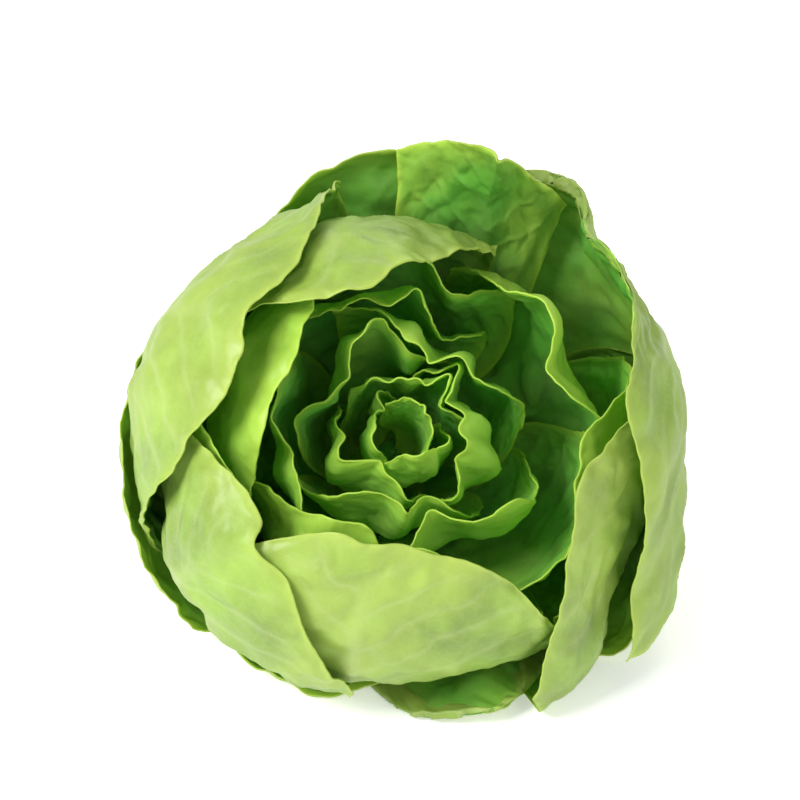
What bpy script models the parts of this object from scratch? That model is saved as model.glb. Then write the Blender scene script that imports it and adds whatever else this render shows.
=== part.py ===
"""A butterhead lettuce, cut at the butt and lying tipped over on its outer leaves.

The head grows as nested cups round one axis. Each leaf follows a cup of its own: it starts beside the
short stem, bulges out round the head and curls in over the top. The leaves are laid from the heart
outwards, and each one is pushed out by the leaves that it covers, so that no two of them touch.
"""

import math
from collections import namedtuple

import bmesh
import bpy
import numpy as np
from mathutils import Matrix, Vector

MM = 0.001

# The cups, from layer 0 in the heart to layer 1 at the outside. Heights are above the cut butt.
HEART_RADIUS, HEAD_RADIUS = 7 * MM, 90 * MM
HEART_HALF_HEIGHT, HEAD_HALF_HEIGHT = 34 * MM, 76 * MM
HEART_BOTTOM, HEAD_BOTTOM = 46 * MM, 3 * MM

# The stem, and the gap between it and the leaves that start round it.
BUTT_RADIUS, STEM_TOP_RADIUS = 14 * MM, 4 * MM
STEM_HEIGHT = 57 * MM
BUTT_CHAMFER = 1 * MM
LEAF_START_GAP = 1.6 * MM

# The leaves. The gap between one and the next is in layers, and a sheet's cells run across and along it.
LEAF_THICKNESS = 0.8 * MM
LAYER_GAP = 0.045
HEART_LEAF_CELLS, LEAF_CELLS = (15, 9), (15, 11)

# A leaf's outline, in shares of its half angle and reach, and the lift of a tip per degree of its fold.
BASE_WIDTH, WIDEST_AT, TIP_NARROWING, SIDE_DIP = 0.34, 0.55, 0.12, 0.32
FOLD_AT, FOLD_LIFT = 0.72, 0.0045

# The folds that run through the whole head: waves round it, their drift from layer to layer and along the
# leaves, their height in layers, their sideways pull in radians, and where they start.
FOLDS = [
    (2, 2.0, 0.6, 0.022, 0.00, 0.5),
    (3, -3.0, 1.2, 0.026, 0.03, 2.1),
    (5, 5.0, -0.8, 0.026, 0.03, 4.0),
    (7, -8.0, 1.4, 0.018, 0.02, 1.0),
    (11, 8.0, -2.0, 0.010, 0.012, 2.6),
]
FOLDS_FROM, FOLDS_FULL = math.radians(50), math.radians(115)

# How the head lies: its axis leans from upright towards -Y, and the floor presses its underside flat.
TILT = math.radians(42)
PRESSED = 11 * MM

# The grid of azimuth and polar angle on which the leaves are laid, and how far its values are spread.
GRID_AZIMUTHS, GRID_POLARS = 240, 120
SPREAD_CELLS, PRESS_SPREAD_CELLS = 7, 3

Leaf = namedtuple("Leaf", "name azimuth layer half_angle reach flare fold lean point ruffle waves phase")

# The heart's leaves, from the inmost to the outermost of them.
HEART_LEAVES = 13
GOLDEN_ANGLE = 137.5
HEART_LAYERS, HEART_HALF_ANGLES, HEART_REACHES = (0.02, 0.52), (104, 44), (136, 122)
HEART_RUFFLES, HEART_WAVES = (0.010, 0.075), (1.0, 3.5)

# A leaf's azimuth, half angle, reach, fold and lean are in degrees. The reach is the polar angle of its
# tip, and a fold turns the tip back outwards. Its layer, flare and ruffle are in layers.
# name, azimuth, layer, half angle, reach, flare, fold, lean, point, ruffle, waves, phase
INNER_LEAVES = [
    Leaf("inner_leaf_top", 80, 0.60, 46, 118, 0.06, 0, 4, 2.6, 0.055, 2.5, 0.4),
    Leaf("inner_leaf_lower_left", 226, 0.60, 54, 136, -0.02, 0, 8, 2.2, 0.040, 2.0, 2.0),
    Leaf("inner_leaf_lower_right", 316, 0.66, 56, 112, 0.04, 0, -6, 2.6, 0.045, 2.5, 1.1),
    Leaf("inner_leaf_right", 18, 0.70, 48, 127, 0.02, 0, 6, 2.6, 0.060, 3.0, 0.0),
    Leaf("inner_leaf_upper_left", 146, 0.72, 60, 136, -0.03, 0, 6, 3.0, 0.030, 2.0, 3.0),
    Leaf("inner_leaf_bottom", 262, 0.74, 50, 139, 0.00, 0, -4, 2.4, 0.045, 2.5, 1.7),
    Leaf("inner_leaf_far_right", 344, 0.80, 42, 132, 0.02, 0, -6, 2.4, 0.045, 3.0, 4.0),
    Leaf("inner_leaf_left", 196, 0.82, 44, 124, 0.02, 0, 0, 2.6, 0.040, 2.5, 5.0),
]
OUTER_LEAVES = [
    Leaf("wrapper_leaf_top", 112, 0.86, 54, 145, -0.02, 0, -8, 2.8, 0.022, 2.0, 0.6),
    Leaf("wrapper_leaf_bottom", 250, 0.88, 58, 144, -0.02, 0, 2, 4.2, 0.012, 1.5, 2.4),
    Leaf("wrapper_leaf_top_right", 60, 0.90, 20, 121, 0.30, 0, 6, 1.2, 0.030, 2.5, 1.0),
    Leaf("wrapper_leaf_lower_left", 203, 0.92, 50, 131, -0.02, 0, 6, 2.8, 0.020, 2.5, 3.6),
    Leaf("wrapper_leaf_upper_left", 148, 0.97, 54, 135, 0.00, 0, -4, 3.6, 0.018, 2.0, 4.4),
    Leaf("outer_leaf_bottom", 256, 0.98, 56, 78, 0.00, 0, 0, 2.6, 0.016, 3.0, 2.2),
    Leaf("bottom_flap_leaf", 280, 0.97, 30, 120, 0.02, 32, 0, 2.0, 0.014, 2.5, 0.2),
    Leaf("wrapper_leaf_lower_right", 341, 1.00, 47, 138, -0.02, 0, -10, 1.9, 0.010, 2.0, 5.2),
    Leaf("outer_leaf_far_top", 92, 1.00, 48, 82, 0.00, 0, 0, 2.4, 0.020, 3.5, 0.0),
    Leaf("outer_leaf_left", 178, 1.02, 48, 84, 0.00, 0, 0, 2.6, 0.020, 3.0, 1.3),
    Leaf("outer_leaf_right", 338, 1.03, 46, 86, 0.00, 0, 0, 2.6, 0.014, 3.0, 3.3),
    Leaf("outer_leaf_right_flap", 40, 1.08, 54, 136, 0.06, 0, -44, 1.8, 0.008, 1.5, 0.8),
]


def between(low, high, layer):
    """The value at a layer, on the straight line from the heart's value to the outside's."""
    return low + (high - low) * layer


def cup_point(layer, azimuth, polar):
    """Points on the nested cups. Polar angle 0 is under the stem, and pi is over the heart."""
    radius = between(HEART_RADIUS, HEAD_RADIUS, layer) * np.sin(polar)
    half_height = between(HEART_HALF_HEIGHT, HEAD_HALF_HEIGHT, layer)
    height = between(HEART_BOTTOM, HEAD_BOTTOM, layer) + half_height * (1 - np.cos(polar))
    return np.stack([radius * np.cos(azimuth), radius * np.sin(azimuth), height], axis=-1)


def start_polar(layer):
    """The polar angle at which a layer's cup meets the ring round the stem."""
    ring = between(STEM_TOP_RADIUS, BUTT_RADIUS, layer) + LEAF_START_GAP
    return np.arcsin(np.clip(ring / between(HEART_RADIUS, HEAD_RADIUS, layer), 0, 0.95))


def smooth_step(x):
    x = np.clip(x, 0, 1)
    return x * x * (3 - 2 * x)


def outline(leaf, across, along):
    """The azimuth and polar angle of a place on a leaf: across runs -1 to 1 and along runs 0 to 1."""
    width = between(BASE_WIDTH, 1, smooth_step(along / WIDEST_AT))
    width = width - TIP_NARROWING * smooth_step((along - WIDEST_AT) / (1 - WIDEST_AT))
    frills = 0.022 * np.sin(5 * across + leaf.phase) + 0.014 * np.sin(11 * across + 2.7 * leaf.phase)
    dip = 1 - SIDE_DIP * np.abs(across) ** leaf.point + (1.3 - leaf.layer) * frills
    azimuth = leaf.azimuth + leaf.half_angle * across * width + leaf.lean * along**2
    start = start_polar(min(leaf.layer, 1.0))
    polar = start + (math.radians(leaf.reach) - start) * along * dip
    polar = polar - math.radians(leaf.fold) * smooth_step((along - FOLD_AT) / (1 - FOLD_AT))
    return np.radians(azimuth), polar


def wanted_layer(leaf, across, along):
    """The layer that a leaf would follow by itself: its cup, the flare of its tip and its ruffled edge."""
    near_edge = 1 - (1 - np.abs(across) ** 6) * (1 - along**4)
    ruffled = leaf.ruffle * near_edge * smooth_step((along - 0.25) / 0.5)
    fan = np.arctan2(across, along + 0.2)
    wave = np.sin(2 * leaf.waves * fan + leaf.phase) + 0.5 * np.sin(3.3 * leaf.waves * fan + 2 * leaf.phase)
    curl = leaf.flare * along**4 + FOLD_LIFT * leaf.fold * smooth_step((along - 0.55) / 0.25)
    return leaf.layer + curl + ruffled * (wave + 1)


def folded(layer, azimuth, polar):
    """The layer and azimuth moved by the folds that all the leaves share."""
    strength = smooth_step((polar - FOLDS_FROM) / (FOLDS_FULL - FOLDS_FROM))
    strength = strength * (1.8 - 1.3 * layer) * smooth_step(layer / 0.3)
    swing, pull = 0, 0
    for waves, layer_drift, polar_drift, height, sideways, start in FOLDS:
        angle = waves * azimuth + layer_drift * layer + polar_drift * polar + start
        swing = swing + height * np.sin(angle)
        pull = pull + sideways * np.cos(angle)
    return layer + swing * strength, azimuth + pull * strength * smooth_step((polar - 1.6) / 0.5)


def cell_of(azimuth, polar):
    """Where a direction falls on the laying grid, in cells."""
    return azimuth / (2 * math.pi) * GRID_AZIMUTHS, np.clip(polar / math.pi, 0, 1) * (GRID_POLARS - 1)


def read_grid(grid, azimuth, polar):
    """The grid's value at each direction, from the four cells round it."""
    column, row = cell_of(azimuth, polar)
    left, low = np.floor(column).astype(int), np.minimum(np.floor(row).astype(int), GRID_POLARS - 2)
    right_share, high_share = column - left, row - low
    near, far = left % GRID_AZIMUTHS, (left + 1) % GRID_AZIMUTHS
    lower = grid[near, low] * (1 - right_share) + grid[far, low] * right_share
    upper = grid[near, low + 1] * (1 - right_share) + grid[far, low + 1] * right_share
    return lower * (1 - high_share) + upper * high_share


def over_neighbours(grid, spread, combine):
    """Combines each cell with those within the spread of it, first round the head and then along it."""
    round_head = combine([np.roll(grid, k, axis=0) for k in range(-spread, spread + 1)])
    wide = np.pad(round_head, ((0, 0), (spread, spread)), mode="edge")
    return combine([wide[:, k : k + GRID_POLARS] for k in range(2 * spread + 1)])


def smooth_cover(grid, spread):
    """A smooth grid that is nowhere less than the one given."""
    widest = over_neighbours(grid, spread, lambda grids: np.max(grids, axis=0))
    return over_neighbours(widest, spread, lambda grids: np.mean(grids, axis=0))


def laid_layer(leaf, push, across, along):
    """The layer where a leaf comes to lie: its own, or the push of the leaves inside it if that is more."""
    own = wanted_layer(leaf, across, along)
    pushed = read_grid(push, *outline(leaf, across, along))
    return (own + pushed + np.hypot(own - pushed, 0.02)) / 2


def lay_leaves(leaves):
    """Lays the leaves from the heart outwards. Gives each one's push, and the outermost layer all round."""
    samples = np.linspace(-1, 1, 260)
    across, along = np.meshgrid(samples, (samples + 1) / 2, indexing="ij")
    filled = np.full((GRID_AZIMUTHS, GRID_POLARS), -1.0)
    outermost = filled.copy()
    pushes = []
    for leaf in leaves:
        push = smooth_cover(filled + LAYER_GAP, SPREAD_CELLS)
        azimuth, polar = outline(leaf, across, along)
        layer = laid_layer(leaf, push, across, along)
        column, row = cell_of(azimuth, polar)
        cells = (np.round(column).astype(int) % GRID_AZIMUTHS, np.round(row).astype(int))
        np.maximum.at(filled, cells, layer)
        np.maximum.at(outermost, cells, folded(layer, azimuth, polar)[0])
        pushes.append(push)
    return pushes, outermost


def tipped_over(points):
    """The points once the head has been tipped over towards -Y, about the middle of its butt."""
    return points @ np.array(Matrix.Rotation(TILT, 3, "X")).T


def pressing(outermost):
    """The share by which the floor draws in the layers along each direction."""
    middle = (HEAD_BOTTOM + HEAD_HALF_HEIGHT) * math.cos(TILT)
    drop = math.hypot(HEAD_RADIUS * math.sin(TILT), HEAD_HALF_HEIGHT * math.cos(TILT))
    floor = middle - drop + PRESSED
    azimuth, polar = np.meshgrid(
        np.arange(GRID_AZIMUTHS) * 2 * math.pi / GRID_AZIMUTHS,
        np.linspace(0, math.pi, GRID_POLARS),
        indexing="ij",
    )
    inmost = tipped_over(cup_point(0.0, azimuth, polar))[..., 2]
    fall = inmost - tipped_over(cup_point(1.0, azimuth, polar))[..., 2]
    room = (inmost - floor) / np.maximum(fall, 1e-6)
    share = room / np.maximum(smooth_cover(outermost, PRESS_SPREAD_CELLS), 0.9)
    return (1 + share - np.hypot(1 - share, 0.08)) / 2


def leaf_points(leaf, push, press, across, along):
    """The places on a leaf where it lies, with the middle of the butt at the origin."""
    azimuth, polar = outline(leaf, across, along)
    squeeze = read_grid(press, azimuth, polar)
    layer, azimuth = folded(laid_layer(leaf, push, across, along), azimuth, polar)
    return tipped_over(cup_point(layer * squeeze, azimuth, polar))


def material(name, colour, roughness):
    made = bpy.data.materials.new(name)
    made.use_nodes = True
    shader = made.node_tree.nodes["Principled BSDF"]
    shader.inputs["Base Color"].default_value = (*colour, 1)
    shader.inputs["Roughness"].default_value = roughness
    shader.inputs["Metallic"].default_value = 0
    return made


def add_leaf(leaf, push, press, cells, finish, collection):
    """A leaf is a grid bent into its cup, then thickened."""
    mesh = bpy.data.meshes.new(leaf.name)
    sheet = bmesh.new()
    bmesh.ops.create_grid(sheet, x_segments=cells[0], y_segments=cells[1], size=1)
    places = np.array([vertex.co for vertex in sheet.verts])
    points = leaf_points(leaf, push, press, places[:, 0], (places[:, 1] + 1) / 2)
    for vertex, point in zip(sheet.verts, points):
        vertex.co = point
    sheet.to_mesh(mesh)
    sheet.free()
    mesh.materials.append(finish)
    placed = bpy.data.objects.new(leaf.name, mesh)
    collection.objects.link(placed)
    solid = placed.modifiers.new("Thickness", "SOLIDIFY")
    solid.thickness = LEAF_THICKNESS
    solid.offset = 0
    return placed


def heart_leaves():
    """The small leaves of the heart, set a golden angle apart and growing outwards."""
    leaves = []
    for n in range(HEART_LEAVES):
        share = n / (HEART_LEAVES - 1)
        azimuth = (20 + n * GOLDEN_ANGLE) % 360
        towards_floor = -math.sin(math.radians(azimuth))
        leaves.append(
            Leaf(
                name=f"heart_leaf_{n + 1}",
                azimuth=azimuth,
                layer=between(*HEART_LAYERS, share),
                half_angle=between(*HEART_HALF_ANGLES, share),
                reach=between(*HEART_REACHES, share) + 10 * towards_floor + 14 * math.cos(2.3 * n),
                flare=0.05 * math.cos(2.1 * n),
                fold=0,
                lean=20 * math.sin(1.7 * n),
                point=2.4,
                ruffle=between(*HEART_RUFFLES, share),
                waves=between(*HEART_WAVES, share),
                phase=1.3 * n,
            )
        )
    return leaves


def add_stem(finish, collection):
    """The short stem, a turned solid that tapers from the cut butt to the growing tip."""
    rings = [(0, STEM_HEIGHT), (STEM_TOP_RADIUS, 0.92 * STEM_HEIGHT)]
    rings += [(0.45 * BUTT_RADIUS, 0.64 * STEM_HEIGHT), (0.64 * BUTT_RADIUS, 0.44 * STEM_HEIGHT)]
    rings += [(BUTT_RADIUS, 0.10 * STEM_HEIGHT)]
    rings += [(BUTT_RADIUS, BUTT_CHAMFER), (BUTT_RADIUS - BUTT_CHAMFER, 0), (0, 0)]
    mesh = bpy.data.meshes.new("stem")
    mesh.from_pydata([(x, 0, z) for x, z in rings], [(k, k + 1) for k in range(len(rings) - 1)], [])
    mesh.materials.append(finish)
    stem = bpy.data.objects.new("stem", mesh)
    collection.objects.link(stem)
    turned = stem.modifiers.new("Turned", "SCREW")
    turned.steps = turned.render_steps = 24
    turned.use_merge_vertices = True
    turned.merge_threshold = 0.00005
    stem.matrix_world = Matrix.Rotation(TILT, 4, "X")
    return stem


def put_on_floor(objects):
    """Moves the head so that its box stands on the floor, centred on the origin."""
    bpy.context.view_layer.update()
    graph = bpy.context.evaluated_depsgraph_get()
    places = []
    for placed in objects:
        solid = placed.evaluated_get(graph)
        places += [solid.matrix_world @ vertex.co for vertex in solid.data.vertices]
    lowest, highest = np.min(places, axis=0), np.max(places, axis=0)
    middle = (lowest + highest) / 2
    for placed in objects:
        placed.matrix_world.translation -= Vector((middle[0], middle[1], lowest[2]))


for old in list(bpy.data.objects):
    bpy.data.objects.remove(old)

head = bpy.data.collections.new("lettuce_head")
bpy.context.scene.collection.children.link(head)
heart_green = material("heart_leaf", (0.12, 0.34, 0.04), 0.45)
inner_green = material("inner_leaf", (0.16, 0.42, 0.04), 0.45)
outer_green = material("outer_leaf", (0.31, 0.50, 0.10), 0.45)
stem_pale = material("stem", (0.70, 0.74, 0.48), 0.5)

heart = heart_leaves()
all_leaves = heart + INNER_LEAVES + OUTER_LEAVES
all_pushes, head_outermost = lay_leaves(all_leaves)
head_press = pressing(head_outermost)
for one, one_push in zip(all_leaves, all_pushes):
    if one in heart:
        add_leaf(one, one_push, head_press, HEART_LEAF_CELLS, heart_green, head)
    else:
        green = inner_green if one in INNER_LEAVES else outer_green
        add_leaf(one, one_push, head_press, LEAF_CELLS, green, head)
add_stem(stem_pale, head)
put_on_floor(head.objects)
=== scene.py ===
"""The looks of a butterhead lettuce, cut at the butt and lying tipped over on its outer leaves."""

import math
from collections import namedtuple

import bpy
import numpy as np
from mathutils import Matrix, Vector, noise


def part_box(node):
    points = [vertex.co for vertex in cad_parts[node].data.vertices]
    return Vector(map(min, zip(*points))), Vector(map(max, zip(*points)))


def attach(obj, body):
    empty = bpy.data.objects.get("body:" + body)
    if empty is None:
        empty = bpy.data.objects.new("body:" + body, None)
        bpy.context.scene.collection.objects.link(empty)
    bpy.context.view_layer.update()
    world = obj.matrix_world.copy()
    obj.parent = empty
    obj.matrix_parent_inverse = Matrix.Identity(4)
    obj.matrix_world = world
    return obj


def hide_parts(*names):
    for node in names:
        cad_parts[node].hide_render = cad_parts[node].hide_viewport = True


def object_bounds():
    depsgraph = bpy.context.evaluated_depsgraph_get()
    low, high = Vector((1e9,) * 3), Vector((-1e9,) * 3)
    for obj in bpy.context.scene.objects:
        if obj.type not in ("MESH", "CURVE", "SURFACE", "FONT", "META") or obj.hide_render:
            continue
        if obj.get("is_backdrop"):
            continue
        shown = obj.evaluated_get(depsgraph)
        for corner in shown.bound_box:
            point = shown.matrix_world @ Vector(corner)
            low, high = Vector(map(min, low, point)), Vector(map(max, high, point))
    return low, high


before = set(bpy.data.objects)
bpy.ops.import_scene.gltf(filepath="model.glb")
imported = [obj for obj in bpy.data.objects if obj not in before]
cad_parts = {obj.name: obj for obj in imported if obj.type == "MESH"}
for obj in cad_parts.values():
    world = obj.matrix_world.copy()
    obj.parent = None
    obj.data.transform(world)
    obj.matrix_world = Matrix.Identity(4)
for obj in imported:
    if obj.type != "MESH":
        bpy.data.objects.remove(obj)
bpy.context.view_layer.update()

MM = 0.001

# ---------------------------------------------------------------------------------------------------------
# The stem. It is short and solid, of pale wet flesh, and every leaf grows from its side. It was cut through
# with a knife below the lowest leaves, and the cut has browned round its rim.
BUTT_RADIUS, STEM_TOP_RADIUS, STEM_HEIGHT, BUTT_CHAMFER = 14 * MM, 4 * MM, 57 * MM, 1 * MM
TILT = math.radians(42)
STEM_STEPS, STEM_RINGS, CAD_STEM_STEPS = 96, 60, 24
SCAR_DEPTH = 0.35 * MM
TIP_SWELL = 0.3
WELD_DISTANCE = 0.02 * MM
FLESH, GREEN_FLESH = (0.70, 0.74, 0.48), (0.42, 0.58, 0.20)
GREEN_TIP = (0.12, 0.42, 0.06)
CUT_FLESH, BROWNED_RIM = (0.74, 0.72, 0.52), (0.36, 0.17, 0.06)


def tipped_over(points):
    """The points once the head has been tipped over towards -Y, about the middle of its butt."""
    return points @ np.array(Matrix.Rotation(TILT, 3, "X")).T


def new_material(name):
    """A material with an empty node tree, and a function that adds nodes to it."""
    made = bpy.data.materials.new(name)
    made.use_nodes = True
    tree = made.node_tree
    tree.nodes.clear()

    def add(kind, links=None, **settings):
        added = tree.nodes.new(kind)
        for key, value in settings.items():
            setattr(added, key, value)
        for socket, value in (links or {}).items():
            if isinstance(value, bpy.types.NodeSocket):
                tree.links.new(value, added.inputs[socket])
            else:
                added.inputs[socket].default_value = value
        return added

    return made, add


def attribute(add, name):
    """A value that the mesh stores at each of its points."""
    return add("ShaderNodeAttribute", attribute_name=name)


def shares(add, value, low, high, to_low=0.0, to_high=1.0):
    """A value's place between low and high, given as a number between to_low and to_high."""
    links = {"Value": value, "From Min": low, "From Max": high, "To Min": to_low, "To Max": to_high}
    return add("ShaderNodeMapRange", links).outputs["Result"]


def blended(add, share, first, second):
    """The first colour turning into the second as the share goes from 0 to 1."""
    colours = [(*c, 1) if isinstance(c, tuple) else c for c in (first, second)]
    mixed = add("ShaderNodeMix", {0: share, 6: colours[0], 7: colours[1]}, data_type="RGBA")
    return mixed.outputs[2]


def times(add, first, second):
    """The product of two values."""
    return add("ShaderNodeMath", {0: first, 1: second}, operation="MULTIPLY").outputs[0]


def mesh_of(name, points, closed_round=False):
    """A mesh over a grid of points, whose first axis may close on itself."""
    rows, columns = points.shape[:2]
    index = np.arange(rows * columns).reshape(rows, columns)
    if closed_round:
        index = np.vstack([index, index[:1]])
    corners = [index[:-1, :-1], index[1:, :-1], index[1:, 1:], index[:-1, 1:]]
    mesh = bpy.data.meshes.new(name)
    mesh.from_pydata(points.reshape(-1, 3).tolist(), [], np.stack(corners, -1).reshape(-1, 4).tolist())
    mesh.shade_smooth()
    return mesh


def stem_outline():
    """The stem's outline as (radius, height) places, from the growing tip down to the middle of the cut."""
    outline = [(0, STEM_HEIGHT), (STEM_TOP_RADIUS, 0.92 * STEM_HEIGHT)]
    outline += [(0.45 * BUTT_RADIUS, 0.64 * STEM_HEIGHT), (0.64 * BUTT_RADIUS, 0.44 * STEM_HEIGHT)]
    outline += [(BUTT_RADIUS, 0.10 * STEM_HEIGHT), (BUTT_RADIUS, BUTT_CHAMFER)]
    return np.array(outline + [(BUTT_RADIUS - BUTT_CHAMFER, 0), (0, 0)])


def turned(outline, steps):
    """The places of a turned solid, by step and by place on its outline."""
    angle = np.arange(steps) * 2 * math.pi / steps
    radius, height = outline[:, 0], outline[:, 1]
    rounds = [np.outer(np.cos(angle), radius), np.outer(np.sin(angle), radius)]
    return np.stack([*rounds, np.broadcast_to(height, rounds[0].shape)], axis=-1)


def butt_place():
    """Where the middle of the butt is, from the box that the CAD stem fills."""
    turned_points = tipped_over(turned(stem_outline(), CAD_STEM_STEPS)).reshape(-1, 3)
    own_middle = (turned_points.min(axis=0) + turned_points.max(axis=0)) / 2
    low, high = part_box("stem")
    return (np.array(low) + np.array(high)) / 2 - own_middle


def stem_flesh():
    """Moist pale flesh, greener towards the tip, with a cut that has browned round its rim."""
    made, add = new_material("stem_flesh")
    where = add("ShaderNodeTexCoord").outputs["Object"]
    cut = attribute(add, "cut").outputs["Fac"]
    rim = attribute(add, "rim").outputs["Fac"]
    clouds = add("ShaderNodeTexNoise", {"Vector": where, "Scale": 140, "Detail": 6, "Roughness": 0.6})
    grain = add("ShaderNodeTexNoise", {"Vector": where, "Scale": 900, "Detail": 3})
    side = blended(add, shares(add, clouds.outputs["Fac"], 0.35, 0.7), GREEN_FLESH, FLESH)
    side = blended(add, attribute(add, "tip").outputs["Fac"], side, GREEN_TIP)
    browned = times(add, rim, shares(add, clouds.outputs["Fac"], 0.3, 0.62))
    face = blended(add, browned, CUT_FLESH, BROWNED_RIM)
    colour = blended(add, cut, side, face)
    raised = add("ShaderNodeBump", {"Strength": 0.4, "Distance": 0.0003, "Height": grain.outputs["Fac"]})
    skin = {"Base Color": colour, "Roughness": 0.42, "Normal": raised.outputs["Normal"]}
    flesh = add("ShaderNodeBsdfPrincipled", {**skin, "Subsurface Weight": 0.25, "Subsurface Scale": 0.004})
    flesh.inputs["Subsurface Radius"].default_value = (1.0, 0.9, 0.35)
    add("ShaderNodeOutputMaterial", {"Surface": flesh.outputs["BSDF"]})
    return made


def fine_stem():
    """The stem with its leaf scars, and the knife's marks on the cut."""
    coarse = stem_outline()
    lengths = np.concatenate([[0], np.cumsum(np.hypot(*np.diff(coarse, axis=0).T))])
    along = np.linspace(0, lengths[-1], STEM_RINGS)
    fine = np.stack([np.interp(along, lengths, coarse[:, 0]), np.interp(along, lengths, coarse[:, 1])], -1)
    points = turned(fine, STEM_STEPS)
    angle = np.arctan2(points[..., 1], points[..., 0])
    scars = np.sin(5 * angle + 420 * points[..., 2]) * np.sin(600 * points[..., 2])
    on_side = np.clip(points[..., 2] / BUTT_CHAMFER - 1, 0, 1) * (fine[:, 0] > STEM_TOP_RADIUS)
    points[..., :2] *= (1 - SCAR_DEPTH / BUTT_RADIUS * (1 + scars) * on_side)[..., None]
    above = np.clip(fine[:, 1] / STEM_HEIGHT * 3 - 1.5, 0, 1)
    points[..., :2] *= (1 + TIP_SWELL * above)[:, None]
    mesh = mesh_of("fresh_stem", tipped_over(points) + butt_place(), closed_round=True)
    cut = np.broadcast_to(fine[:, 1] < 0.5 * BUTT_CHAMFER, points.shape[:2]).astype(np.float32)
    rim = np.broadcast_to(np.clip(fine[:, 0] / BUTT_RADIUS * 1.6 - 0.6, 0, 1), cut.shape).astype(np.float32)
    tip = np.broadcast_to(above, cut.shape).astype(np.float32)
    for name, values in (("cut", cut), ("rim", rim), ("tip", tip)):
        mesh.attributes.new(name, "FLOAT", "POINT").data.foreach_set("value", values.ravel())
    mesh.materials.append(stem_flesh())
    placed = bpy.data.objects.new("fresh_stem", mesh)
    bpy.context.scene.collection.objects.link(placed)
    welded = placed.modifiers.new("Closed tips", "WELD")
    welded.merge_threshold = WELD_DISTANCE
    return placed


stem = fine_stem()
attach(stem, "root")
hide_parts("stem")

# ---------------------------------------------------------------------------------------------------------
# The heart leaves. They are the youngest and smallest, set a golden angle apart round the tip of the stem,
# upright and crumpled together, with thin bright rims. Each follows a cup round the one before it.

# The nested cups at layer 0, in the heart, and at layer 1, at the outside. A leaf starts a small gap away
# from the stem, and lies at least a layer gap outside the leaves within it.
HEART_RADIUS, HEAD_RADIUS = 7 * MM, 90 * MM
HEART_HALF_HEIGHT, HEAD_HALF_HEIGHT = 34 * MM, 76 * MM
HEART_BOTTOM, HEAD_BOTTOM = 46 * MM, 3 * MM
LEAF_START_GAP = 1.6 * MM
LAYER_GAP = 0.045

# The folds that all the leaves share, and the finer pleats. Each is given by its waves round the head, its
# drift from layer to layer and along the leaves, its height in layers, its sideways pull and its start.
FOLDS = [
    (2, 2.0, 0.6, 0.022, 0.00, 0.5),
    (3, -3.0, 1.2, 0.026, 0.03, 2.1),
    (5, 5.0, -0.8, 0.026, 0.03, 4.0),
    (7, -8.0, 1.4, 0.018, 0.02, 1.0),
    (11, 8.0, -2.0, 0.010, 0.012, 2.6),
]
FOLDS_FROM, FOLDS_FULL = math.radians(50), math.radians(115)
PLEATS = [
    (4, 8.0, 1.5, 0.040, 0.06, 1.2),
    (10, 5.0, 2.0, 0.042, 0.02, 0.4),
    (15, -7.0, -2.5, 0.026, 0.01, 3.0),
]
PLEATS_FROM, PLEATS_FULL, PLEATS_UP_TO = math.radians(60), math.radians(112), 1.0
MOST_PLEATED = math.radians(60)

# The grid of directions on which the leaves are laid, and how far its values are spread, in cells.
GRID_AZIMUTHS, GRID_POLARS = 240, 120
SPREAD_CELLS = 7

# A leaf's outline, in shares of its half angle and of its length, and how many layers its folded tip is
# lifted for each degree of the fold.
BASE_WIDTH, WIDEST_AT, TIP_NARROWING, SIDE_DIP = 0.34, 0.55, 0.12, 0.32
FOLD_AT, FOLD_LIFT = 0.72, 0.0045

# The heart's leaves: their number and the turn between them in degrees, and then what each measure is for
# the inmost and for the outermost.
HEART_LEAVES, GOLDEN_ANGLE = 13, 137.5
HEART_LAYERS, HEART_HALF_ANGLES, HEART_REACHES = (0.02, 0.52), (104, 44), (136, 122)
HEART_RUFFLES, HEART_WAVES = (0.010, 0.075), (1.0, 3.5)
HEART_CELLS = (84, 64)

# A leaf's thickness, and how its start sinks into the stem.
BLADE_THICKNESS, RIB_THICKNESS = 0.55 * MM, 4.2 * MM
BASE_SUNK_IN, BASE_BEND = 0.4 * MM, 5 * MM

# A leaf's fine shape. These pairs are in millimetres, for the least vigorous leaf and the most vigorous.
BLISTER_SIZES, CRINKLE_SIZES, CRINKLED_RIMS = (9, 17), (6, 9), (4, 6)
MIDRIB_TIPS, MIDRIB_WIDENINGS = (1.2, 2.2), (1.5, 6.5)
SIDE_RIB_SPACINGS, SIDE_RIB_WIDTHS = (10, 17), (0.7, 1.1)
THICK_BASES, PALE_BASES = (20, 45), (9, 38)
BEND_SIZE, CREASE_SIZE, ROLL_SIZE, WAVER_SIZE, GATHER_SIZE = 45 * MM, 24 * MM, 26 * MM, 14 * MM, 5.5 * MM
BEND_HEIGHT, CREASE_HEIGHT, GATHER_HEIGHT, BLISTER_HEIGHT = 1.2 * MM, 1.9 * MM, 1.7 * MM, 1.3 * MM
SIDE_RIB_SINK, SET_INWARDS = 0.25 * MM, 0.35 * MM
# The width of the rim's own lighter line, and of the wider band of painted glow inside it, where light
# shining through the thin edge is painted into the colour.
RIM_LINE, PAINTED_GLOW_WIDTH = 1.4 * MM, 12 * MM
HEART_FACE, HEART_BACK = (0.20, 0.68, 0.12), (0.34, 0.72, 0.10)
# The rim's lime colour. It also colours the painted glow band inside the rim.
BRIGHT_RIM = (0.55, 0.80, 0.10)
PALE_RIB = (0.50, 0.66, 0.24)
SUNLIT_GREEN = (0.62, 0.95, 0.16)
DEEPER, LIGHTER = 0.68, 1.25

Leaf = namedtuple("Leaf", "name azimuth layer half_angle reach flare fold lean point ruffle waves phase")


def between(low, high, layer):
    """The value at a layer, on the straight line from the heart's value to the outside's."""
    return low + (high - low) * layer


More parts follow.
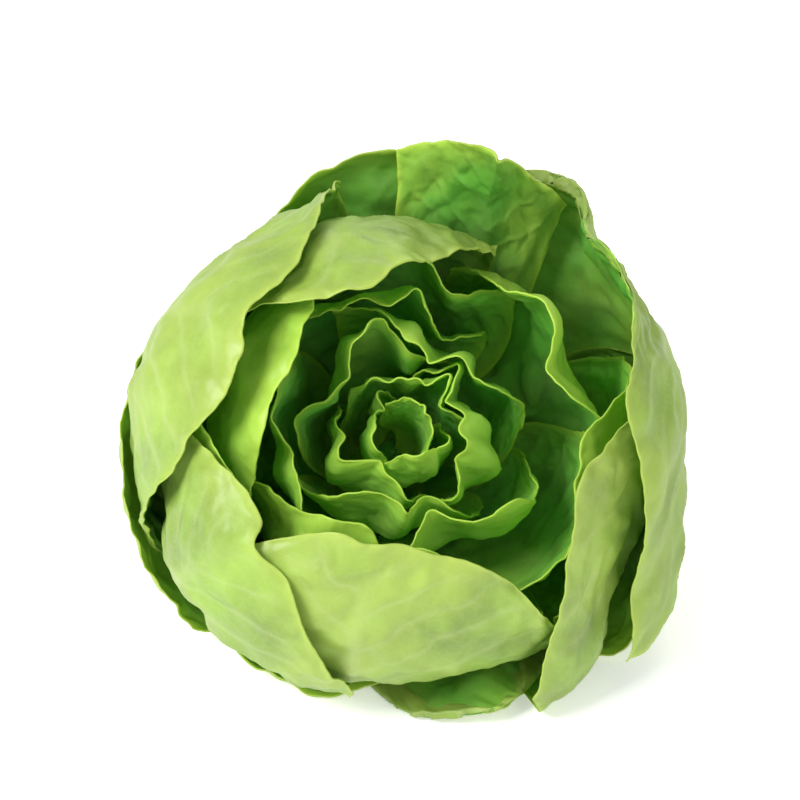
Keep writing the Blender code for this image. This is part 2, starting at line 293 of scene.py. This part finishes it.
def smooth_step(x):
    """A smooth rise from 0 to 1 as x goes from 0 to 1."""
    x = np.clip(x, 0, 1)
    return x * x * (3 - 2 * x)


def cup_point(layer, azimuth, polar):
    """Points on the nested cups. Polar angle 0 is under the stem, and pi is over the heart."""
    radius = between(HEART_RADIUS, HEAD_RADIUS, layer) * np.sin(polar)
    half_height = between(HEART_HALF_HEIGHT, HEAD_HALF_HEIGHT, layer)
    height = between(HEART_BOTTOM, HEAD_BOTTOM, layer) + half_height * (1 - np.cos(polar))
    return np.stack([radius * np.cos(azimuth), radius * np.sin(azimuth), height], axis=-1)


def start_polar(layer):
    """The polar angle at which a layer's cup meets the ring round the stem."""
    ring = between(STEM_TOP_RADIUS, BUTT_RADIUS, layer) + LEAF_START_GAP
    return np.arcsin(np.clip(ring / between(HEART_RADIUS, HEAD_RADIUS, layer), 0, 0.95))


def outline(leaf, across, along):
    """The azimuth and polar angle of a place on a leaf: across runs -1 to 1 and along runs 0 to 1."""
    width = between(BASE_WIDTH, 1, smooth_step(along / WIDEST_AT))
    width = width - TIP_NARROWING * smooth_step((along - WIDEST_AT) / (1 - WIDEST_AT))
    frills = 0.022 * np.sin(5 * across + leaf.phase) + 0.014 * np.sin(11 * across + 2.7 * leaf.phase)
    dip = 1 - SIDE_DIP * np.abs(across) ** leaf.point + (1.3 - leaf.layer) * frills
    azimuth = leaf.azimuth + leaf.half_angle * across * width + leaf.lean * along**2
    start = start_polar(min(leaf.layer, 1.0))
    polar = start + (math.radians(leaf.reach) - start) * along * dip
    polar = polar - math.radians(leaf.fold) * smooth_step((along - FOLD_AT) / (1 - FOLD_AT))
    return np.radians(azimuth), polar


def wanted_layer(leaf, across, along):
    """The layer that a leaf would follow by itself: its cup, the flare of its tip and its ruffled edge."""
    near_edge = 1 - (1 - np.abs(across) ** 6) * (1 - along**4)
    ruffled = leaf.ruffle * near_edge * smooth_step((along - 0.25) / 0.5)
    fan = np.arctan2(across, along + 0.2)
    wave = np.sin(2 * leaf.waves * fan + leaf.phase) + 0.5 * np.sin(3.3 * leaf.waves * fan + 2 * leaf.phase)
    curl = leaf.flare * along**4 + FOLD_LIFT * leaf.fold * smooth_step((along - 0.55) / 0.25)
    return leaf.layer + curl + ruffled * (wave + 1)


def swing_and_pull(folds, layer, azimuth, polar):
    """How far the folds move a place outwards, in layers, and round the head, at full strength."""
    swing, pull = 0, 0
    for waves, layer_drift, polar_drift, height, sideways, start in folds:
        angle = waves * azimuth + layer_drift * layer + polar_drift * polar + start
        swing = swing + height * np.sin(angle)
        pull = pull + sideways * np.cos(angle)
    return swing, pull


def folded(layer, azimuth, polar):
    """The layer and azimuth moved by the folds that all the leaves share."""
    strength = smooth_step((polar - FOLDS_FROM) / (FOLDS_FULL - FOLDS_FROM))
    strength = strength * (1.8 - 1.3 * layer) * smooth_step(layer / 0.3)
    swing, pull = swing_and_pull(FOLDS, layer, azimuth, polar)
    return layer + swing * strength, azimuth + pull * strength * smooth_step((polar - 1.6) / 0.5)


def pleated(layer, azimuth, polar):
    """The layer and azimuth moved by the finer pleats, which fade towards the outside."""
    strength = smooth_step((polar - PLEATS_FROM) / (PLEATS_FULL - PLEATS_FROM)) * smooth_step(layer / 0.4)
    strength = strength * np.clip(1 - layer / PLEATS_UP_TO, 0, 1) ** 0.8
    strength = strength * (0.7 + 0.5 * np.cos(azimuth - MOST_PLEATED))
    swing, pull = swing_and_pull(PLEATS, layer, azimuth, polar)
    return layer + swing * strength, azimuth + pull * strength


def cell_of(azimuth, polar):
    """Where a direction falls on the laying grid, in cells."""
    return azimuth / (2 * math.pi) * GRID_AZIMUTHS, np.clip(polar / math.pi, 0, 1) * (GRID_POLARS - 1)


def read_grid(grid, azimuth, polar):
    """The grid's value at each direction, from the four cells round it."""
    column, row = cell_of(azimuth, polar)
    left, low = np.floor(column).astype(int), np.minimum(np.floor(row).astype(int), GRID_POLARS - 2)
    right_share, high_share = column - left, row - low
    near, far = left % GRID_AZIMUTHS, (left + 1) % GRID_AZIMUTHS
    lower = grid[near, low] * (1 - right_share) + grid[far, low] * right_share
    upper = grid[near, low + 1] * (1 - right_share) + grid[far, low + 1] * right_share
    return lower * (1 - high_share) + upper * high_share


def over_neighbours(grid, spread, combine):
    """Combines each cell with those within the spread of it, first round the head and then along it."""
    round_head = combine([np.roll(grid, k, axis=0) for k in range(-spread, spread + 1)])
    wide = np.pad(round_head, ((0, 0), (spread, spread)), mode="edge")
    return combine([wide[:, k : k + GRID_POLARS] for k in range(2 * spread + 1)])


def smooth_cover(grid, spread):
    """A smooth grid that is nowhere less than the one given."""
    widest = over_neighbours(grid, spread, lambda grids: np.max(grids, axis=0))
    return over_neighbours(widest, spread, lambda grids: np.mean(grids, axis=0))


def laid_layer(leaf, push, across, along):
    """The layer where a leaf comes to lie: its own, or the push of the leaves inside it if that is more."""
    own = wanted_layer(leaf, across, along)
    pushed = read_grid(push, *outline(leaf, across, along))
    return (own + pushed + np.hypot(own - pushed, 0.02)) / 2


filled = np.full((GRID_AZIMUTHS, GRID_POLARS), -1.0)
outermost = filled.copy()


def laid(leaf):
    """Lays a leaf over those before it, and gives the push that they give it."""
    samples = np.linspace(-1, 1, 260)
    across, along = np.meshgrid(samples, (samples + 1) / 2, indexing="ij")
    push = smooth_cover(filled + LAYER_GAP, SPREAD_CELLS)
    azimuth, polar = outline(leaf, across, along)
    layer = laid_layer(leaf, push, across, along)
    column, row = cell_of(azimuth, polar)
    cells = (np.round(column).astype(int) % GRID_AZIMUTHS, np.round(row).astype(int))
    np.maximum.at(filled, cells, layer)
    np.maximum.at(outermost, cells, folded(layer, azimuth, polar)[0])
    return push


def lumps(right, up, size, seed, octaves=3):
    """Smooth random swellings of about that size, from -1 to 1, at places on a flat leaf in metres."""
    places = zip((right / size + seed).ravel(), (up / size - seed).ravel())
    values = [noise.fractal(Vector((x, y, seed)), 1.0, 2.0, octaves) for x, y in places]
    return np.array(values).reshape(right.shape)


def flat_lengths(points):
    """How far each point is from the midrib and from the leaf's start, and from the nearest edge."""
    steps_across = np.linalg.norm(np.diff(points, axis=0), axis=-1)
    steps_along = np.linalg.norm(np.diff(points, axis=1), axis=-1)
    right = np.vstack([np.zeros((1, points.shape[1])), np.cumsum(steps_across, axis=0)])
    up = np.hstack([np.zeros((points.shape[0], 1)), np.cumsum(steps_along, axis=1)])
    to_side = np.minimum(right, right[-1:] - right)
    to_edge = np.minimum(to_side, up[:, -1:] - up)
    return right - right[points.shape[0] // 2], up, to_edge


def outward_normals(points):
    """The directions square to a leaf's surface, on its side away from the heart."""
    normals = np.cross(np.gradient(points, axis=0), np.gradient(points, axis=1))
    normals /= np.maximum(np.linalg.norm(normals, axis=-1, keepdims=True), 1e-9)
    middle = np.array([0, 0, HEART_BOTTOM + HEART_HALF_HEIGHT])
    return normals * np.sign(np.sum((points - middle) * normals))


def grown_from_stem(points, up):
    """The points once the leaf's start has been drawn in to the side of the stem."""
    outline_up = stem_outline()[::-1]
    stem_radius = np.interp(points[..., 2], outline_up[:, 1], outline_up[:, 0]) - BASE_SUNK_IN
    radius = np.hypot(points[..., 0], points[..., 1])
    drawn_in = np.maximum(radius - stem_radius, 0) * np.exp(-((up / BASE_BEND) ** 1.5))
    points[..., :2] *= (1 - drawn_in / np.maximum(radius, 1e-6))[..., None]
    return points


def fine_leaf(leaf, push, cells, face, back, vigour):
    """A leaf with its ribs, blisters and crinkled rim. Vigour, from 0 to 1, says how large the leaf is."""
    seed = 7.3 * leaf.azimuth % 31 + 3 * leaf.layer
    across = np.sin(np.linspace(-1, 1, 2 * (cells[0] // 2) + 1) * math.pi / 2)
    along = np.linspace(0, 1, cells[1] + 1)
    along = 0.45 * along + 0.55 * np.sin(along * math.pi / 2)
    across, along = np.meshgrid(across, along, indexing="ij")
    azimuth, polar = outline(leaf, across, along)
    layer, azimuth = folded(laid_layer(leaf, push, across, along), azimuth, polar)
    layer, azimuth = pleated(layer, azimuth, polar)
    points = cup_point(layer, azimuth, polar)
    right, up, to_edge = flat_lengths(points)
    length = up[up.shape[0] // 2, -1]

    bends = lumps(right, up, BEND_SIZE, seed)
    creases = 1 - 2 * np.abs(lumps(right, up, CREASE_SIZE, seed + 29, 2))
    blisters = np.abs(lumps(right, up, between(*BLISTER_SIZES, vigour) * MM, seed + 5))
    rib_width = between(*MIDRIB_TIPS, vigour) * MM
    rib_width = rib_width + between(*MIDRIB_WIDENINGS, vigour) * MM * (1 - along) ** 1.6
    midrib = np.exp(-((right / rib_width) ** 2)) * smooth_step((1.02 - along) / 0.6)
    spacing = between(*SIDE_RIB_SPACINGS, vigour) * MM
    waver = lumps(right, up, WAVER_SIZE, seed + 23, 2)
    ladder = (up - 0.9 * np.abs(right) + 5 * right**2 + 5 * MM * bends + 3 * MM * waver) / spacing
    ladder = ladder + 0.5 * (right > 0)
    off_rib = np.abs(ladder - np.round(ladder)) * spacing * 0.74
    rib_fade = smooth_step(np.abs(right) / (4 * MM)) * smooth_step(to_edge / (14 * MM))
    rib_fade = rib_fade * smooth_step(up / (25 * MM))
    side_ribs = np.exp(-((off_rib / (between(*SIDE_RIB_WIDTHS, vigour) * MM)) ** 2)) * rib_fade
    inside = smooth_step(to_edge / (10 * MM))
    puffed = blisters * (1 - side_ribs) * smooth_step(up / (30 * MM)) * (0.4 + 0.6 * inside)

    crinkle = lumps(right, up, between(*CRINKLE_SIZES, vigour) * MM, seed + 11, 2)
    roll = lumps(right, up, ROLL_SIZE, seed + 17, 1)
    rim = np.exp(-((to_edge / (between(*CRINKLED_RIMS, vigour) * MM)) ** 1.5))
    rim = rim * smooth_step((up - 0.45 * length) / (0.3 * length))
    lift = BLISTER_HEIGHT * puffed - SIDE_RIB_SINK * side_ribs - SET_INWARDS
    lift = lift + rim * (1.4 * crinkle + 2.2 * roll + 0.6) * between(0.7, 1.2, vigour) * MM
    lift = lift + BEND_HEIGHT * vigour * bends * smooth_step(up / (40 * MM))
    gathers = np.sin(right / GATHER_SIZE + 6 * bends + 3 * creases) * smooth_step(to_edge / (12 * MM))
    lift = lift + GATHER_HEIGHT * vigour * gathers * smooth_step((0.72 - along) / 0.4)
    creased = CREASE_HEIGHT * vigour * creases * smooth_step(up / (35 * MM))
    lift = lift + creased * smooth_step(to_edge / (8 * MM))
    normals = outward_normals(points)
    points = points + normals * lift[..., None]
    points = grown_from_stem(points, up)

    heaviness = np.exp(-up / (between(*THICK_BASES, vigour) * MM))
    rib_height = midrib * (0.25 + 0.75 * heaviness) * between(0.4, 1, vigour) + 0.10 * side_ribs
    share = np.clip(BLADE_THICKNESS / RIB_THICKNESS + 0.75 * rib_height + 0.12 * heaviness, 0, 1)
    # How strong the painted glow band along the edge is. It is painted light shining through the thin edge,
    # and is stronger on the smaller leaves.
    painted_glow_share = between(0.8, 0.45, vigour)
    made = mesh_of("fresh_" + leaf.name, points)
    if np.dot(made.polygons[0].normal, normals[0, 0]) < 0:
        made.flip_normals()
    values = {
        "ribs": np.clip(midrib + 0.4 * side_ribs, 0, 1),
        # The rim: the margin's own lighter line, plus the painted glow band inside it.
        "rim": np.clip(np.exp(-to_edge / RIM_LINE) + painted_glow_share * np.exp(-to_edge / PAINTED_GLOW_WIDTH), 0, 1),
        "base": np.exp(-up / (between(*PALE_BASES, vigour) * MM)),
        "tint": np.clip(0.5 + 0.8 * bends, 0, 1),
        "azimuth": azimuth,
        "polar": polar,
        "layer": layer,
        "thick": share * RIB_THICKNESS,
    }
    for name, value in values.items():
        stored = made.attributes.new(name, "FLOAT", "POINT")
        stored.data.foreach_set("value", value.astype(np.float32).ravel())
    flat = made.attributes.new("flat", "FLOAT_VECTOR", "POINT")
    flat_places = np.stack([right + seed, up, 0 * up], -1)
    flat.data.foreach_set("vector", flat_places.astype(np.float32).ravel())
    made.materials.append(back)
    made.materials.append(face)

    placed = bpy.data.objects.new("fresh_" + leaf.name, made)
    bpy.context.scene.collection.objects.link(placed)
    thickness = placed.vertex_groups.new(name="thickness")
    for number, weight in enumerate(share.ravel()):
        thickness.add([number], float(weight), "REPLACE")
    solid = placed.modifiers.new("Thickness", "SOLIDIFY")
    solid.thickness = RIB_THICKNESS
    solid.vertex_group = thickness.name
    solid.offset = 1
    solid.material_offset = 1
    return placed


def leaf_finish(name, blade, rim_colour, rib_colour, rib_share, network, through_share, pale_share):
    """Satin leaf that lets light through: greener blade, bright rim with a band of painted glow inside it,
    pale ribs and a fine net of veins.

    The last three say how strongly the veins show, how much light comes through and how pale patches are.
    """
    made, add = new_material(name)
    flat = attribute(add, "flat").outputs["Vector"]
    ribs = attribute(add, "ribs").outputs["Fac"]
    rim = attribute(add, "rim").outputs["Fac"]
    base = attribute(add, "base").outputs["Fac"]
    tint = attribute(add, "tint").outputs["Fac"]
    clouds = add("ShaderNodeTexNoise", {"Vector": flat, "Scale": 38, "Detail": 5, "Roughness": 0.55})
    waver = add("ShaderNodeTexNoise", {"Vector": flat, "Scale": 120, "Detail": 2})
    wavering = {0: 0.006, 4: flat, 5: waver.outputs["Color"]}
    bent = add("ShaderNodeMix", wavering, data_type="VECTOR").outputs[1]
    cells = add("ShaderNodeTexVoronoi", {"Vector": bent, "Scale": 260}, feature="DISTANCE_TO_EDGE")
    veins = shares(add, cells.outputs["Distance"], 0.0, 0.14, 1.0, 0.0)
    deep = tuple(DEEPER * c for c in blade)
    light = tuple(min(1, LIGHTER * c) for c in blade)
    colour = blended(add, shares(add, clouds.outputs["Fac"], 0.32, 0.68), deep, light)
    patches = add("ShaderNodeTexNoise", {"Vector": flat, "Scale": 16, "Detail": 3, "Distortion": 0.6})
    pale = shares(add, patches.outputs["Fac"], 0.52, 0.72, 0.0, pale_share)
    colour = blended(add, pale, colour, rim_colour)
    colour = blended(add, shares(add, tint, 0.45, 1.0, 0.0, 0.5), colour, rim_colour)
    colour = blended(add, times(add, veins, network), colour, rib_colour)
    colour = blended(add, times(add, ribs, rib_share), colour, rib_colour)
    colour = blended(add, base, colour, rib_colour)
    # The rim colour over the margin's own line and over the painted glow band inside it.
    colour = blended(add, rim, colour, rim_colour)
    fine = add("ShaderNodeTexNoise", {"Vector": flat, "Scale": 1500, "Detail": 2})
    net = add("ShaderNodeBump", {"Strength": 0.35, "Distance": 0.0003, "Height": cells.outputs["Distance"]})
    grain = {"Strength": 0.15, "Distance": 0.0001, "Height": fine.outputs["Fac"]}
    skin = add("ShaderNodeBump", {**grain, "Normal": net.outputs["Normal"]}).outputs["Normal"]
    gloss = shares(add, clouds.outputs["Fac"], 0.3, 0.7, 0.38, 0.52)
    surface = add("ShaderNodeBsdfPrincipled", {"Base Color": colour, "Roughness": gloss, "Normal": skin})
    surface.inputs["Specular IOR Level"].default_value = 0.5
    glow = blended(add, 0.35, colour, SUNLIT_GREEN)
    through = add("ShaderNodeBsdfTranslucent", {"Color": glow, "Normal": skin})
    both = {"Fac": through_share, 1: surface.outputs["BSDF"], 2: through.outputs["BSDF"]}
    add("ShaderNodeOutputMaterial", {"Surface": add("ShaderNodeMixShader", both).outputs["Shader"]})
    return made


def heart_leaves():
    """The small leaves of the heart, from the inmost outwards."""
    leaves = []
    for n in range(HEART_LEAVES):
        share = n / (HEART_LEAVES - 1)
        azimuth = (20 + n * GOLDEN_ANGLE) % 360
        towards_floor = -math.sin(math.radians(azimuth))
        leaves.append(
            Leaf(
                name=f"heart_leaf_{n + 1}",
                azimuth=azimuth,
                layer=between(*HEART_LAYERS, share),
                half_angle=between(*HEART_HALF_ANGLES, share),
                reach=between(*HEART_REACHES, share) + 10 * towards_floor + 14 * math.cos(2.3 * n),
                flare=0.05 * math.cos(2.1 * n),
                fold=0,
                lean=20 * math.sin(1.7 * n),
                point=2.4,
                ruffle=between(*HEART_RUFFLES, share),
                waves=between(*HEART_WAVES, share),
                phase=1.3 * n,
            )
        )
    return leaves


def add_leaves(leaves, cells, face, back, vigour):
    """Lays these leaves in turn, each with its own fine shape, in place of its plain solid."""
    placed = []
    for leaf in leaves:
        grown = fine_leaf(leaf, laid(leaf), cells, face, back, vigour(leaf))
        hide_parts(leaf.name)
        placed.append(grown)
    return placed


heart_face = leaf_finish("heart_leaf_face", HEART_FACE, BRIGHT_RIM, PALE_RIB, 0.30, 0.06, 0.42, 0.35)
heart_back = leaf_finish("heart_leaf_back", HEART_BACK, BRIGHT_RIM, PALE_RIB, 0.45, 0.10, 0.35, 0.35)
heart = add_leaves(
    heart_leaves(), HEART_CELLS, heart_face, heart_back, lambda leaf: leaf.layer * 0.8
)

# ---------------------------------------------------------------------------------------------------------
# The inner leaves. They stand round the heart, broad and soft, greener on their inner faces than on their
# backs. The lower ones lean in over the heart, and the upper ones stand back and show their faces.
# name, azimuth, layer, half angle, reach, flare, fold, lean, point, ruffle, waves, phase
INNER_LEAVES = [
    Leaf("inner_leaf_top", 80, 0.60, 46, 118, 0.06, 0, 4, 2.6, 0.055, 2.5, 0.4),
    Leaf("inner_leaf_lower_left", 226, 0.60, 54, 136, -0.02, 0, 8, 2.2, 0.040, 2.0, 2.0),
    Leaf("inner_leaf_lower_right", 316, 0.66, 56, 112, 0.04, 0, -6, 2.6, 0.045, 2.5, 1.1),
    Leaf("inner_leaf_right", 18, 0.70, 48, 127, 0.02, 0, 6, 2.6, 0.060, 3.0, 0.0),
    Leaf("inner_leaf_upper_left", 146, 0.72, 60, 136, -0.03, 0, 6, 3.0, 0.030, 2.0, 3.0),
    Leaf("inner_leaf_bottom", 262, 0.74, 50, 139, 0.00, 0, -4, 2.4, 0.045, 2.5, 1.7),
    Leaf("inner_leaf_far_right", 344, 0.80, 42, 132, 0.02, 0, -6, 2.4, 0.045, 3.0, 4.0),
    Leaf("inner_leaf_left", 196, 0.82, 44, 124, 0.02, 0, 0, 2.6, 0.040, 2.5, 5.0),
]
INNER_CELLS = (110, 84)
INNER_FACE, INNER_BACK = (0.24, 0.69, 0.10), (0.38, 0.66, 0.07)

inner_face = leaf_finish("inner_leaf_face", INNER_FACE, BRIGHT_RIM, PALE_RIB, 0.25, 0.06, 0.42, 0.30)
inner_back = leaf_finish("inner_leaf_back", INNER_BACK, BRIGHT_RIM, PALE_RIB, 0.45, 0.10, 0.30, 0.35)
inner = add_leaves(
    INNER_LEAVES, INNER_CELLS, inner_face, inner_back, lambda leaf: leaf.layer * 0.9
)

# ---------------------------------------------------------------------------------------------------------
# The wrapper leaves and the loose outermost leaves. They are the largest, with thick pale ribs and almost
# white bases. Their backs are pale, and the few that are turned out show a deep green face.
# name, azimuth, layer, half angle, reach, flare, fold, lean, point, ruffle, waves, phase
OUTER_LEAVES = [
    Leaf("wrapper_leaf_top", 112, 0.86, 54, 145, -0.02, 0, -8, 2.8, 0.022, 2.0, 0.6),
    Leaf("wrapper_leaf_bottom", 250, 0.88, 58, 144, -0.02, 0, 2, 4.2, 0.012, 1.5, 2.4),
    Leaf("wrapper_leaf_top_right", 60, 0.90, 20, 121, 0.30, 0, 6, 1.2, 0.030, 2.5, 1.0),
    Leaf("wrapper_leaf_lower_left", 203, 0.92, 50, 131, -0.02, 0, 6, 2.8, 0.020, 2.5, 3.6),
    Leaf("wrapper_leaf_upper_left", 148, 0.97, 54, 135, 0.00, 0, -4, 3.6, 0.018, 2.0, 4.4),
    Leaf("outer_leaf_bottom", 256, 0.98, 56, 78, 0.00, 0, 0, 2.6, 0.016, 3.0, 2.2),
    Leaf("bottom_flap_leaf", 280, 0.97, 30, 120, 0.02, 32, 0, 2.0, 0.014, 2.5, 0.2),
    Leaf("wrapper_leaf_lower_right", 341, 1.00, 47, 138, -0.02, 0, -10, 1.9, 0.010, 2.0, 5.2),
    Leaf("outer_leaf_far_top", 92, 1.00, 48, 82, 0.00, 0, 0, 2.4, 0.020, 3.5, 0.0),
    Leaf("outer_leaf_left", 178, 1.02, 48, 84, 0.00, 0, 0, 2.6, 0.020, 3.0, 1.3),
    Leaf("outer_leaf_right", 338, 1.03, 46, 86, 0.00, 0, 0, 2.6, 0.014, 3.0, 3.3),
    Leaf("outer_leaf_right_flap", 40, 1.08, 54, 136, 0.06, 0, -44, 1.8, 0.008, 1.5, 0.8),
]
OUTER_CELLS = (140, 104)
OUTER_FACE, OUTER_BACK = (0.10, 0.40, 0.04), (0.28, 0.44, 0.065)
SOFT_RIM, WHITE_RIB = (0.42, 0.56, 0.09), (0.58, 0.66, 0.30)

outer_face = leaf_finish("outer_leaf_face", OUTER_FACE, BRIGHT_RIM, PALE_RIB, 0.15, 0.05, 0.25, 0.20)
outer_back = leaf_finish("outer_leaf_back", OUTER_BACK, SOFT_RIM, WHITE_RIB, 0.60, 0.08, 0.18, 0.60)
outer = add_leaves(
    OUTER_LEAVES, OUTER_CELLS, outer_face, outer_back, lambda leaf: min(leaf.layer, 1)
)

# ---------------------------------------------------------------------------------------------------------
# The head laid down. It leans over on to its underside, and the floor presses the leaves there closer
# together, so that it rests on a flattened patch of its outer leaves.
PRESSED = 11 * MM
PRESS_SPREAD_CELLS = 3
FLOOR_GAP = 0.1 * MM


def pressing():
    """The share by which the floor draws in the layers along each direction."""
    middle = (HEAD_BOTTOM + HEAD_HALF_HEIGHT) * math.cos(TILT)
    drop = math.hypot(HEAD_RADIUS * math.sin(TILT), HEAD_HALF_HEIGHT * math.cos(TILT))
    floor_height = middle - drop + PRESSED
    azimuth, polar = np.meshgrid(
        np.arange(GRID_AZIMUTHS) * 2 * math.pi / GRID_AZIMUTHS,
        np.linspace(0, math.pi, GRID_POLARS),
        indexing="ij",
    )
    inmost = tipped_over(cup_point(0.0, azimuth, polar))[..., 2]
    fall = inmost - tipped_over(cup_point(1.0, azimuth, polar))[..., 2]
    room = (inmost - floor_height) / np.maximum(fall, 1e-6)
    share = room / np.maximum(smooth_cover(outermost, PRESS_SPREAD_CELLS), 0.9)
    return (1 + share - np.hypot(1 - share, 0.08)) / 2


def stored_values(mesh, name):
    """A value that the mesh stores, at all its points."""
    values = np.empty(len(mesh.vertices), np.float32)
    mesh.attributes[name].data.foreach_get("value", values)
    return values.astype(float)


def lay_down(leaf, squeeze):
    """Presses a leaf as the floor does, tips it over with the head and keeps it above the floor."""
    mesh = leaf.data
    azimuth, polar, layer = (stored_values(mesh, name) for name in ("azimuth", "polar", "layer"))
    points = np.empty(3 * len(mesh.vertices), np.float32)
    mesh.vertices.foreach_get("co", points)
    pressed = layer * read_grid(squeeze, azimuth, polar)
    drawn_in = cup_point(pressed, azimuth, polar) - cup_point(layer, azimuth, polar)
    lying = tipped_over(points.reshape(-1, 3) + drawn_in) + butt_place()
    lying[:, 2] = np.maximum(lying[:, 2], FLOOR_GAP + stored_values(mesh, "thick"))
    mesh.vertices.foreach_set("co", lying.astype(np.float32).ravel())
    mesh.update()


squeeze = pressing()
for leaf in heart + inner + outer:
    lay_down(leaf, squeeze)
    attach(leaf, "root")

# ---------------------------------------------------------------------------------------------------------
# The plain pale floor that the head lies on, soft lamps round it, and the camera, which looks down into
# the open top from a little above.
FLOOR_WHITE = (0.93, 0.93, 0.93)
CAMERA_AZIMUTH, CAMERA_ELEVATION = math.radians(-9), math.radians(38)
CAMERA_DISTANCE, CAMERA_LENS = 1.35, 172
LAMPS = [
    ("window_lamp", (-0.80, -0.35, 0.90), 0.45, 13),
    ("front_lamp", (0.60, -1.20, 0.70), 1.00, 5),
    ("back_lamp", (0.30, 0.90, 0.90), 0.80, 4),
]
SKY_STRENGTH = 0.6
FLOOR_GLOW = 0.35

bpy.ops.mesh.primitive_plane_add(size=8, location=(0, 0, 0))
floor = bpy.context.object
floor.name = "floor"
floor_paint, add_paint = new_material("floor_paint")
paint = add_paint("ShaderNodeBsdfPrincipled", {"Base Color": (*FLOOR_WHITE, 1), "Roughness": 0.6})
paint.inputs["Emission Color"].default_value = (1, 1, 1, 1)
paint.inputs["Emission Strength"].default_value = FLOOR_GLOW
add_paint("ShaderNodeOutputMaterial", {"Surface": paint.outputs["BSDF"]})
floor.data.materials.append(floor_paint)
floor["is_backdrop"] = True

low, high = (np.array(corner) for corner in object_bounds())
looked_at = Vector((low + high) / 2)


def facing(placed, place, target):
    """Puts a lamp or camera in its place, turned towards the target."""
    placed.location = place
    placed.rotation_mode = "QUATERNION"
    placed.rotation_quaternion = (target - Vector(place)).to_track_quat("-Z", "Y")
    bpy.context.scene.collection.objects.link(placed)


for name, place, size, power in LAMPS:
    lamp = bpy.data.lights.new(name, "AREA")
    lamp.size, lamp.energy = size, power
    facing(bpy.data.objects.new(name, lamp), place, looked_at)

sky = bpy.data.worlds.new("studio")
sky.use_nodes = True
sky.node_tree.nodes["Background"].inputs["Color"].default_value = (1, 1, 1, 1)
sky.node_tree.nodes["Background"].inputs["Strength"].default_value = SKY_STRENGTH
bpy.context.scene.world = sky

camera = bpy.data.objects.new("camera", bpy.data.cameras.new("camera"))
camera.data.lens = CAMERA_LENS
level = Vector((math.sin(CAMERA_AZIMUTH), -math.cos(CAMERA_AZIMUTH), 0)) * math.cos(CAMERA_ELEVATION)
away = level + Vector((0, 0, math.sin(CAMERA_ELEVATION)))
facing(camera, looked_at + CAMERA_DISTANCE * away, looked_at)
bpy.context.scene.camera = camera
bpy.context.scene.view_settings.view_transform = "Standard"
